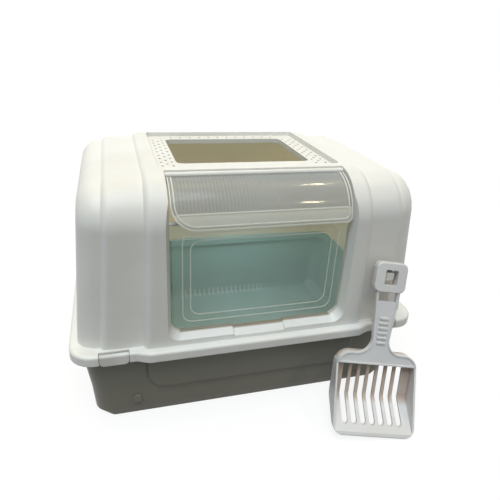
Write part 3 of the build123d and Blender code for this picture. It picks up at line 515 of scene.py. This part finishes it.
def reflection_streaks_and_frost(build, clear):
    """Painted reflection of fine upright streaks that fades out towards the visor's middle, and a frosted band below
    its crease.
    """
    finish = bpy.context.scene.litter_box_finish
    place = build.place()
    # painted reflection: darker upright streaks, colour only
    reflection_streaks = build.math("MULTIPLY", build.wave(place["X"], finish.reflection_streak_pitch), build.band(place["X"], *REFLECTION_STREAK_FADE))
    shade = rgba(REFLECTION_STREAK_SHADE * part for part in finish.visor)
    reflection_streaked = build.mix(build.math("MULTIPLY", reflection_streaks, REFLECTION_STREAK_COVER), clear, shade)
    frost = build.math("MULTIPLY", build.band(place["Z"], *BELOW_CREASE), FROST_COVER)
    return build.mix(frost, reflection_streaked, rgba(finish.sheet_line))


def clear_plastic(name, tint, covers, relief, roughness, gloss, edge_shine, change=None):
    """Clear sheet with raised lines and cut edges painted pale as a painted highlight, which hides more where it is
    looked at along its face.

    covers are how much it hides when looked at squarely, along its face and at its lines, and change may
    alter the tint.
    """
    finish = bpy.context.scene.litter_box_finish
    material, build = new_material(name)
    skin = skin_of(build, tint, tuple(SHEET_DRIFT * part for part in tint), roughness, coarser=SHEET_GRAIN)
    base = change(build, skin["Colour"]) if change else skin["Colour"]
    raised = build.group("Sheet Relief", relief)
    # painted highlight on the raised lines and the cut edges
    pale = build.math("MAXIMUM", raised["Line"], build.math("MULTIPLY", raised["Edge"], edge_shine))
    facing = build.add("ShaderNodeLayerWeight", {"Blend": GRAZING_BLEND}).outputs["Facing"]
    grazing = build.math("POWER", facing, GRAZING_POWER)
    square, askew, line = covers
    hidden = build.math("MULTIPLY_ADD", grazing, askew - square, square)
    hidden = build.math("MAXIMUM", hidden, build.math("MULTIPLY", pale, line), clamp=True)
    bump = build.add("ShaderNodeBump", {**SHEET_BUMP, "Height": skin["Height"]})
    shader = build.add("ShaderNodeBsdfPrincipled", {
        "Base Color": build.mix(pale, base, rgba(finish.sheet_line)), "Roughness": skin["Roughness"],
        "Alpha": hidden, "Normal": bump.outputs[0], "IOR": PLASTIC_IOR, "Specular IOR Level": gloss, **SHEET_COAT})
    return close_material(material, shader)


def paint(names, material):
    for name in names:
        mesh = NODES[name].data
        mesh.materials.clear()
        mesh.materials.append(material)


class LITTERBOX_OT_hood(bpy.types.Operator):
    """Finish the hood, its hinge bar and the panel in its top"""

    bl_idname = "litterbox.hood"
    bl_label = "Finish Hood"

    def execute(self, context):
        finish = context.scene.litter_box_finish
        white = (finish.hood, finish.hood_drift)
        paint(["hood_shell"], moulded_plastic("hood_white", *white, roughness=0.38, edge=0.0014, scuffs=0.3,
                                              change=shade_on_sill, glow=painted_glow_inside))
        paint(["visor_bar"], moulded_plastic("bar_white", *white, roughness=0.34, edge=0.0006, scuffs=0.3))
        paint(["top_panel"], moulded_plastic("panel_white", *white, roughness=0.42, edge=0.0007, scuffs=0.2,
                                             change=shade_in_pores))
        return {"FINISHED"}


class LITTERBOX_OT_tray(bpy.types.Operator):
    """Finish the tray"""

    bl_idname = "litterbox.tray"
    bl_label = "Finish Tray"

    def execute(self, context):
        finish = context.scene.litter_box_finish
        # dark outside as painted shade, bright teal inside as painted light
        paint(["tray"], moulded_plastic("tray_sage", finish.tray, finish.tray_drift, roughness=0.40, edge=0.0025,
                                        dust=0.45, scuffs=0.3, change=lit_teal_inside))
        return {"FINISHED"}


class LITTERBOX_OT_clear_sheets(bpy.types.Operator):
    """Finish the clear visor and the clear door"""

    bl_idname = "litterbox.clear_sheets"
    bl_label = "Finish Clear Sheets"

    def execute(self, context):
        finish = context.scene.litter_box_finish
        visor_covers = (finish.visor_cover, VISOR_GRAZING_COVER, finish.visor_line_cover)
        paint(["visor"], clear_plastic("visor_clear", finish.visor, visor_covers, VISOR_RELIEF, roughness=0.28,
                                       gloss=0.2, edge_shine=0.6, change=reflection_streaks_and_frost))
        door_covers = (finish.door_cover, DOOR_GRAZING_COVER, finish.door_line_cover)
        paint(["door"], clear_plastic("door_clear", finish.door, door_covers, DOOR_RELIEF, roughness=0.12,
                                      gloss=PLASTIC_GLOSS, edge_shine=0.1))
        return {"FINISHED"}


class LITTERBOX_OT_clips(bpy.types.Operator):
    """Finish the clips and every hinge pin"""

    bl_idname = "litterbox.clips"
    bl_label = "Finish Clips and Pins"

    def execute(self, context):
        finish = context.scene.litter_box_finish
        grey = (finish.clip, finish.hood_drift)
        paint(CLIP_NODES, moulded_plastic("clip_grey", *grey, roughness=0.38, edge=0.0007, scuffs=0.4))
        paint(PIN_NODES, moulded_plastic("pin_white", *grey, roughness=0.45, edge=0.0003))
        return {"FINISHED"}


class LITTERBOX_OT_scoop(bpy.types.Operator):
    """Finish the scoop"""

    bl_idname = "litterbox.scoop"
    bl_label = "Finish Scoop"

    def execute(self, context):
        finish = context.scene.litter_box_finish
        paint(["scoop"], moulded_plastic("scoop_white", finish.scoop, finish.scoop_drift, roughness=0.34,
                                         edge=0.0009, scuffs=0.5, change=shade_in_pan))
        return {"FINISHED"}


class LITTERBOX_OT_studio(bpy.types.Operator):
    """Set up the floor, the light and the camera"""

    bl_idname = "litterbox.studio"
    bl_label = "Set Up Studio"

    def execute(self, context):
        studio = context.scene.litter_box_studio
        make_floor(studio)
        light_sky(context.scene, studio)
        for lamp in LAMPS:
            make_sun(lamp, lamp.part * getattr(studio, lamp.level))
        place_camera(context.scene, studio)
        context.scene.view_settings.view_transform = "Standard"
        return {"FINISHED"}


def seen_plainly(build):
    """1 for rays that show the background: from the camera, off gloss or through clear plastic."""
    path = build.add("ShaderNodeLightPath").outputs
    either = build.math("MAXIMUM", path["Is Camera Ray"], path["Is Glossy Ray"])
    return build.math("MAXIMUM", either, path["Is Transmission Ray"])


def make_floor(studio):
    """Matt floor that is lifted towards white where it is seen, and lights nothing."""
    shape = bmesh.new()
    bmesh.ops.create_grid(shape, x_segments=1, y_segments=1, size=FLOOR_HALF)
    mesh = bpy.data.meshes.new("studio_floor")
    shape.to_mesh(mesh)
    shape.free()
    floor = bpy.data.objects.new("studio_floor", mesh)
    bpy.context.scene.collection.objects.link(floor)
    material, build = new_material("studio_white")
    lift = build.math("MULTIPLY", seen_plainly(build), studio.floor_glow)
    matt = build.add("ShaderNodeBsdfDiffuse", {"Color": rgba(studio.floor)})
    glow = build.add("ShaderNodeEmission", {"Color": WHITE, "Strength": lift})
    both = build.add("ShaderNodeAddShader", {0: matt.outputs[0], 1: glow.outputs[0]})
    mesh.materials.append(close_material(material, both))
    return floor


def light_sky(scene, studio):
    """Even dim light from all round, from a sky that looks plain white."""
    world = bpy.data.worlds.new("studio_sky")
    world.use_nodes = True
    world.node_tree.nodes.clear()
    build = NodeBuilder(world.node_tree)
    strength = build.math("MULTIPLY_ADD", seen_plainly(build), 1.0 - studio.sky, studio.sky)
    sky = build.add("ShaderNodeBackground", {"Color": WHITE, "Strength": strength})
    build.link(sky.outputs[0], build.add("ShaderNodeOutputWorld").inputs["Surface"])
    scene.world = world


def make_sun(lamp, level):
    """Even light from one side, soft by its spread; a level of 1 shows a white face that is square to it as white."""
    light = bpy.data.lights.new(lamp.name, "SUN")
    light.angle = math.radians(lamp.spread)
    light.energy = math.pi * level
    light.color = lamp.tone
    sun = bpy.data.objects.new(lamp.name, light)
    sun.rotation_mode = "QUATERNION"
    sun.rotation_quaternion = Vector(lamp.side).to_track_quat("Z", "Y")
    bpy.context.scene.collection.objects.link(sun)


def place_camera(scene, studio):
    ahead = Vector((math.sin(studio.yaw) * math.cos(studio.pitch), math.cos(studio.yaw) * math.cos(studio.pitch),
                    -math.sin(studio.pitch)))
    level = Vector((math.cos(studio.yaw), -math.sin(studio.yaw), 0.0))
    upright = level.cross(ahead)
    right = level * math.cos(studio.roll) + upright * math.sin(studio.roll)
    up = upright * math.cos(studio.roll) - level * math.sin(studio.roll)
    camera = bpy.data.objects.new("camera", bpy.data.cameras.new("camera"))
    camera.data.lens = studio.lens
    camera.data.sensor_width = SENSOR_WIDTH
    camera.data.clip_start = CLIP_START
    camera.rotation_mode = "QUATERNION"
    camera.rotation_quaternion = Matrix((right, up, -ahead)).transposed().to_quaternion()
    camera.location = studio.camera
    scene.collection.objects.link(camera)
    scene.camera = camera


class LITTERBOX_PT_sidebar(bpy.types.Panel):
    """Lists the steps that finish the litter box, and their settings"""

    bl_idname = "LITTERBOX_PT_sidebar"
    bl_label = "Litter Box"
    bl_space_type = "VIEW_3D"
    bl_region_type = "UI"
    bl_category = "Litter Box"

    def draw(self, context):
        for step in STEPS:
            self.layout.operator(step.bl_idname)
        for settings in (context.scene.litter_box_finish, context.scene.litter_box_studio):
            for name in settings.__annotations__:
                self.layout.prop(settings, name)


STEPS = (LITTERBOX_OT_hood, LITTERBOX_OT_tray, LITTERBOX_OT_clear_sheets, LITTERBOX_OT_clips, LITTERBOX_OT_scoop,
         LITTERBOX_OT_studio)
CLASSES = (LitterBoxFinish, LitterBoxStudio, *STEPS, LITTERBOX_PT_sidebar)


def register():
    for cls in CLASSES:
        bpy.utils.register_class(cls)
    bpy.types.Scene.litter_box_finish = PointerProperty(type=LitterBoxFinish)
    bpy.types.Scene.litter_box_studio = PointerProperty(type=LitterBoxStudio)


def unregister():
    del bpy.types.Scene.litter_box_studio
    del bpy.types.Scene.litter_box_finish
    for cls in reversed(CLASSES):
        bpy.utils.unregister_class(cls)


def main():
    register()
    for step in STEPS:
        area, name = step.bl_idname.split(".")
        getattr(getattr(bpy.ops, area), name)()


if __name__ == "__main__":
    main()
